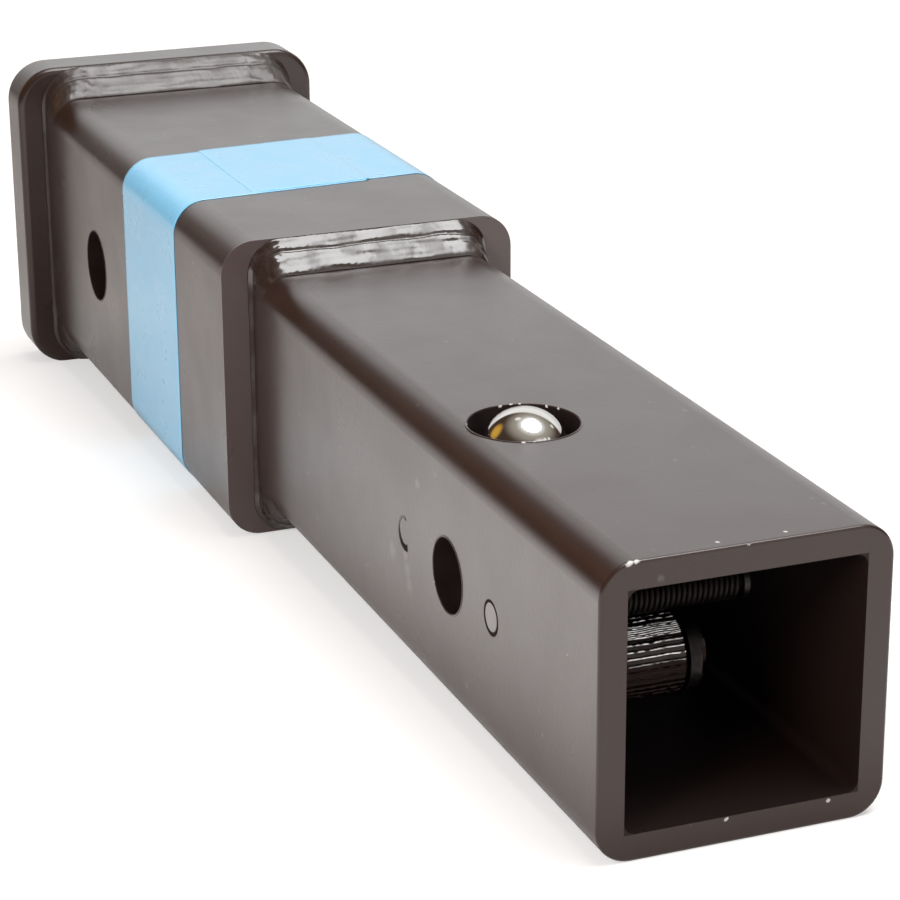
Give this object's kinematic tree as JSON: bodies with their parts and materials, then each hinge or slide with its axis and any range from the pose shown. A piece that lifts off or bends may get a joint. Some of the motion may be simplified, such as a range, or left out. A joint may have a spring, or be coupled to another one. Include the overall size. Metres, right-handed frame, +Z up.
{
  "type": "hitch extender",
  "caption": "Square steel hitch extender: hollow shank with a pin hole and a sprung locking ball, welded into a larger collared receiver tube that takes an accessory shank.",
  "frame": {"origin": "centre of the shank's pin hole, on the axis of the square tubes", "axes": "+X along the tubes towards the shank's free end, +Y along the pin holes, +Z up through the locking ball's wall"},
  "size_m": [0.333, 0.0762, 0.0762],
  "materials": {
    "tube_paint": "satin dark brown-black powder coat",
    "weld_paint": "glossy dark paint over rippled weld bead",
    "blue_tape": "smooth light blue adhesive tape",
    "ball_steel": "polished bearing steel",
    "bare_steel": "cold-drawn steel with fine lengthwise lines",
    "dark_steel": "oil-blackened steel",
    "spring_steel": "oil-blackened spring wire"
  },
  "bodies": {
    "tubes": {"shank_tube": "tube_paint", "receiver_tube": "tube_paint", "mouth_collar": "tube_paint", "step_weld": "weld_paint", "collar_weld": "weld_paint", "tape_band": "blue_tape", "pivot_spindle": "bare_steel", "spindle_weld": "weld_paint", "pivot_washer": "dark_steel", "pivot_clip": "dark_steel", "spring_post": "dark_steel", "post_weld": "weld_paint", "return_spring": "spring_steel"},
    "ball_lever": {"locking_ball": "ball_steel", "ball_arm": "bare_steel", "pivot_barrel": "bare_steel", "arm_weld": "bare_steel"}
  },
  "joints": [
    {"name": "ball_press", "type": "hinge", "parent": "tubes", "child": "ball_lever", "pos_m": [0.043, -0.0105, 0], "axis": [0, 1, 0], "range_deg": [-4.5, 0], "stiffness_Nm_per_rad": 0.06, "springref_deg": 68.75, "deforming": ["return_spring"]}
  ]
}
